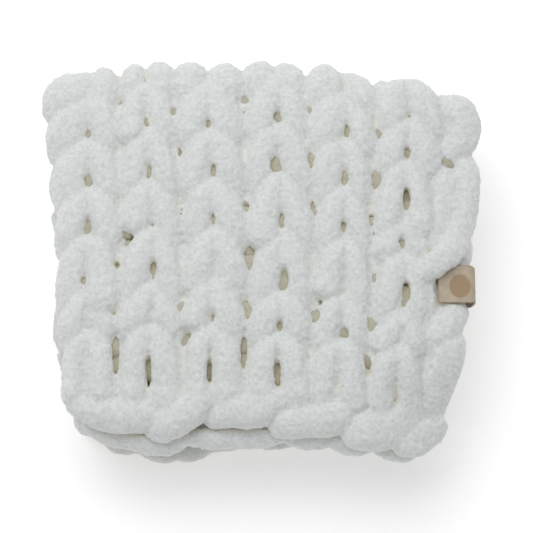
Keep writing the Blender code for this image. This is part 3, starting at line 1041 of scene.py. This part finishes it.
@dataclass(frozen=True)
class TannedLeather:
    """Light tan leather with a fine grain, darker in its round stamp and where its edges are burnished."""

    name: str = "tan_leather"
    light: Row = (0.47, 0.40, 0.305, 1.0)
    cloudy: Row = (0.40, 0.335, 0.25, 1.0)
    stamped: Row = (0.335, 0.235, 0.145, 1.0)
    burnished: Row = (0.29, 0.225, 0.155, 1.0)
    grain: float = 1100.0

    def material(self) -> bpy.types.Material:
        """Mix the leather's material.

        Returns:
            The material.
        """
        material = bpy.data.materials.new(self.name)
        material.use_nodes = True
        nodes, links = material.node_tree.nodes, material.node_tree.links
        shader = dial(nodes["Principled BSDF"], {"Roughness": 0.62, "Specular IOR Level": 0.35})
        place = nodes.new("ShaderNodeTexCoord").outputs["Object"]
        cloud = dial(nodes.new("ShaderNodeTexNoise"), {"Scale": 190.0, "Detail": 5.0})
        links.new(place, cloud.inputs["Vector"])
        ramp = nodes.new("ShaderNodeValToRGB")
        ramp.color_ramp.elements[0].position = 0.3
        ramp.color_ramp.elements[0].color = self.cloudy
        ramp.color_ramp.elements[1].position = 0.65
        ramp.color_ramp.elements[1].color = self.light
        links.new(cloud.outputs["Fac"], ramp.inputs["Fac"])
        colour = ramp.outputs["Color"]
        for mask, tone in (("stamp", self.stamped), ("edge", self.burnished)):
            amount = nodes.new("ShaderNodeAttribute")
            amount.attribute_name = mask
            blend = nodes.new("ShaderNodeMix")
            blend.data_type = "RGBA"
            blend.inputs["B"].default_value = tone
            links.new(amount.outputs["Fac"], blend.inputs["Factor"])
            links.new(colour, blend.inputs["A"])
            colour = blend.outputs["Result"]
        links.new(colour, shader.inputs["Base Color"])
        pores = dial(nodes.new("ShaderNodeTexVoronoi"), {"Scale": self.grain})
        links.new(place, pores.inputs["Vector"])
        bump = dial(nodes.new("ShaderNodeBump"), {"Strength": 0.3, "Distance": 0.0003})
        links.new(pores.outputs["Distance"], bump.inputs["Height"])
        links.new(bump.outputs["Normal"], shader.inputs["Normal"])
        return material


@dataclass
class LeatherLabel:
    """The leather strip that wraps over the right selvedge, with a plain round stamp on its top flap."""

    thickness: float = 1.6
    squareness: float = 0.6
    under_stops_short: float = 5.5
    bend_steps: int = 24
    flap_steps: int = 44
    length_steps: int = 60
    stamp_x: float = 156.6
    stamp_y: float = -36.2
    stamp_half_x: float = 8.7
    stamp_half_y: float = 10.0
    stamp_depth: float = 0.35
    stamp_slope: float = 0.07
    burnish: float = 0.75
    burnish_width: float = 1.3
    corner: float = 1.6
    corner_length: float = 4.0

    def route(self) -> list[Row]:
        """Trace the strip's middle, from its top flap over the bend to its under flap.

        Returns:
            Rows of x and z.
        """
        low, high = (np.array(corner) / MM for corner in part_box("label"))
        radius = (high[2] - low[2] - self.thickness) / 2
        centre_z = (high[2] + low[2]) / 2
        bend_x = high[0] - radius - self.thickness / 2
        steps = self.flap_steps
        rows = [(low[0] + (bend_x - low[0]) * k / steps, centre_z + radius) for k in range(steps)]
        for k in range(self.bend_steps):
            angle = math.pi * k / self.bend_steps
            out, up = power(np.array([math.sin(angle), math.cos(angle)]), self.squareness) * radius
            rows.append((bend_x + out, centre_z + up))
        under_x = low[0] + self.under_stops_short
        rows += [(bend_x + (under_x - bend_x) * k / steps, centre_z - radius) for k in range(steps + 1)]
        return rows

    def build(self, finish: TannedLeather) -> bpy.types.Object:
        """Build the strip as a smooth sheet in the place of the plain one.

        Args:
            finish: The leather's finish.

        Returns:
            The strip, riding on the part and standing in for the plain one.
        """
        low, high = (np.array(corner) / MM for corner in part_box("label"))
        route = np.array(self.route())
        share = np.linspace(0.0, 1.0, self.length_steps + 1)
        x, across = np.meshgrid(route[:, 0], share, indexing="ij")
        z = np.repeat(route[:, 1:2], len(share), axis=1)
        drawn_in = self.corner * smooth((x - high[0] + self.corner_length) / self.corner_length)
        y = low[1] + drawn_in + (high[1] - low[1] - 2.0 * drawn_in) * across
        on_top = z > (high[2] + low[2]) / 2
        off = np.hypot((x - self.stamp_x) / self.stamp_half_x, (y - self.stamp_y) / self.stamp_half_y)
        stamp = smooth((1.0 - off) / self.stamp_slope) * on_top
        z = z - stamp * self.stamp_depth
        from_edge = np.minimum(np.minimum(y - low[1], high[1] - y), np.where(on_top, x - low[0], np.inf))
        edge = self.burnish * (1.0 - smooth(from_edge / self.burnish_width))
        rows, wide = x.shape
        start = (np.arange(rows - 1)[:, None] * wide + np.arange(wide - 1)[None, :]).ravel()
        faces = np.stack([start, start + wide, start + wide + 1, start + 1], axis=-1)
        mesh = bpy.data.meshes.new("label_strip")
        mesh.from_pydata((np.stack([x, y, z], axis=-1).reshape(-1, 3) * MM).tolist(), [], faces.tolist())
        mesh.shade_smooth()
        for name, values in (("stamp", stamp), ("edge", edge)):
            mask = mesh.attributes.new(name, "FLOAT", "POINT")
            mask.data.foreach_set("value", values.ravel().astype(np.float32))
        strip = linked("label_strip", mesh)
        solidify = strip.modifiers.new("Thickness", "SOLIDIFY")
        solidify.thickness = self.thickness * MM
        solidify.offset = 0.0
        mesh.materials.append(finish.material())
        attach(strip, "root")
        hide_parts("label")
        return strip


@dataclass
class Studio:
    """A pale floor, soft light from above and behind, and a camera almost straight above."""

    elevation: float = 75.0
    distance: float = 1.7
    frame_width: float = 0.430
    aim: Row = (0.0052, -0.0079, 0.052)
    sensor: float = 36.0
    near: float = 0.05
    floor_size: float = 4.0
    floor_drop: float = 0.0004
    floor_glow: float = 0.23
    light_place: Row = (-0.3, 0.6, 1.55)
    light_aim: Row = (0.0, 0.0, 0.05)
    light_size: Row = (1.5, 1.4)
    light_energy: float = 14.5
    room_glow: float = 0.565

    def floor(self) -> None:
        """Lay the floor."""
        bpy.ops.mesh.primitive_plane_add(size=self.floor_size, location=(0.0, 0.0, -self.floor_drop))
        plane = bpy.context.object
        plane.name = "floor"
        material = bpy.data.materials.new("floor_white")
        material.use_nodes = True
        dial(material.node_tree.nodes["Principled BSDF"], {
            "Base Color": (0.95, 0.95, 0.95, 1.0), "Roughness": 0.9, "Specular IOR Level": 0.0,
            "Emission Color": (1.0, 1.0, 1.0, 1.0), "Emission Strength": self.floor_glow,
        })
        plane.data.materials.append(material)

    def lights(self) -> None:
        """Hang one wide light above and behind, and let the room give the rest."""
        data = bpy.data.lights.new("softbox", "AREA")
        data.shape = "RECTANGLE"
        data.size, data.size_y = self.light_size
        data.energy = self.light_energy
        lamp = linked("softbox", data)
        lamp.location = self.light_place
        aim = Vector(self.light_aim) - lamp.location
        lamp.rotation_euler = aim.to_track_quat("-Z", "Y").to_euler()
        world = bpy.data.worlds.new("room")
        world.use_nodes = True
        room = {"Color": (1.0, 1.0, 1.0, 1.0), "Strength": self.room_glow}
        dial(world.node_tree.nodes["Background"], room)
        bpy.context.scene.world = world
        bpy.context.scene.view_settings.view_transform = "Standard"

    def camera(self) -> None:
        """Set the camera at the photograph's angle."""
        data = bpy.data.cameras.new("camera")
        data.sensor_width = self.sensor
        data.lens = self.sensor * self.distance / self.frame_width
        data.clip_start = self.near
        camera = linked("camera", data)
        angle = math.radians(self.elevation)
        back = Vector((0.0, -math.cos(angle), math.sin(angle)))
        camera.location = Vector(self.aim) + back * self.distance
        camera.rotation_euler = (-back).to_track_quat("-Z", "Y").to_euler()
        bpy.context.scene.camera = camera


def main() -> None:
    """Build the blanket, its label and the studio, and report each piece."""
    logging.basicConfig(level=logging.INFO, format="%(message)s")
    way = FoldedWay()
    finish = Chenille()
    # A slightly darker, warmer copy of the yarn, painted shade for the lower layers.
    lower_painted_shade = Chenille("chenille_lower_painted_shade", (0.655, 0.67, 0.65, 1.0), (0.73, 0.725, 0.68, 1.0))
    # A darker, browner copy of the yarn, painted shade for the back loops seen low in the gaps.
    loops_painted_shade = Chenille(
        "chenille_loops_painted_shade", (0.47, 0.45, 0.36, 1.0), (0.50, 0.475, 0.37, 1.0), (0.56, 0.52, 0.39, 1.0)
    )
    edges = Edges(way)
    pieces = KnitStitches(way).build(edges, finish, loops_painted_shade, lower_painted_shade)
    pieces.append(edges.build(finish))
    for piece in pieces:
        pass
    label = LeatherLabel().build(TannedLeather())
    pieces.append(label)
    for piece in pieces:
        triangles = sum(len(face.vertices) - 2 for face in piece.data.polygons)
        logging.info("%s: %d triangles", piece.name, triangles)
    studio = Studio()
    studio.floor()
    studio.lights()
    studio.camera()


if __name__ == "__main__":
    main()
